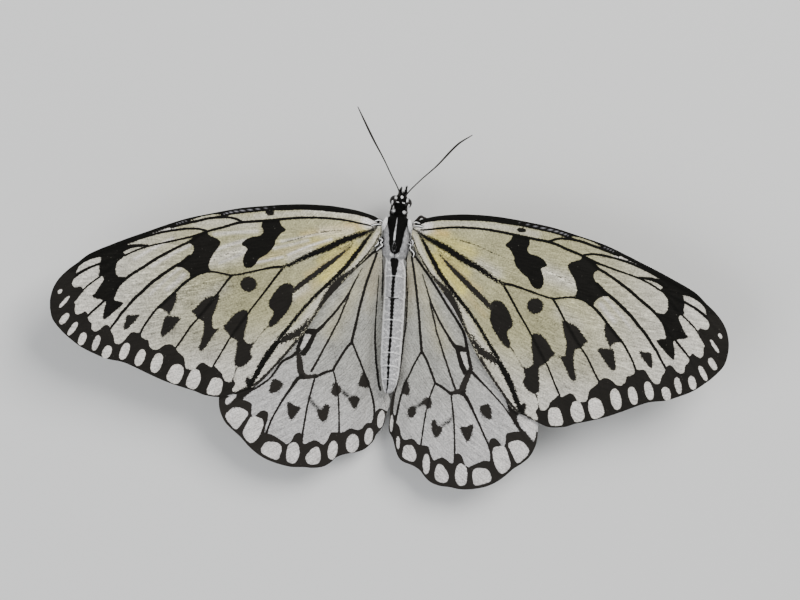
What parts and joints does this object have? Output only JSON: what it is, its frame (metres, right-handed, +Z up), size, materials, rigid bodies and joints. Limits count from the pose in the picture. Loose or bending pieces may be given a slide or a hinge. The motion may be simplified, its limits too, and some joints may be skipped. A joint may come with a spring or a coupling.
{
  "type": "paper kite butterfly",
  "caption": "Life-size still butterfly, standing on its legs with four black-veined, cream and white wings spread flat.",
  "frame": {"origin": "on the floor under the middle of the whole butterfly's box", "axes": "+Z up from the floor through the back, head towards -Y, the animal's right side towards -X"},
  "size_m": [0.1316, 0.0718, 0.0197],
  "materials": {
    "forewing": "cream wing scales with black veins, spots and border, faintly silky",
    "hindwing": "grey-white wing scales with black veins, spots and border",
    "body_black": "black cuticle under short scales, with white dots and stripes",
    "abdomen_silver": "silver-white scales with a black stripe along the back and fine white rings",
    "scale_white": "white scales, matt",
    "eye": "glossy black compound eye with fine facets",
    "leg_black": "black cuticle with pale scales below, satin"
  },
  "bodies": {
    "root": {"head": "body_black", "neck": "body_black", "thorax": "body_black", "abdomen": "abdomen_silver", "eye_left": "eye", "eye_right": "eye", "antenna_left": "body_black", "antenna_right": "body_black", "palp_left": "body_black", "palp_right": "body_black", "proboscis": "body_black", "tegula_left": "scale_white", "tegula_right": "scale_white", "forewing_left": "forewing", "forewing_right": "forewing", "hindwing_left": "hindwing", "hindwing_right": "hindwing", "foreleg_left": "leg_black", "foreleg_right": "leg_black", "midleg_left": "leg_black", "midleg_right": "leg_black", "hindleg_left": "leg_black", "hindleg_right": "leg_black"}
  },
  "joints": []
}
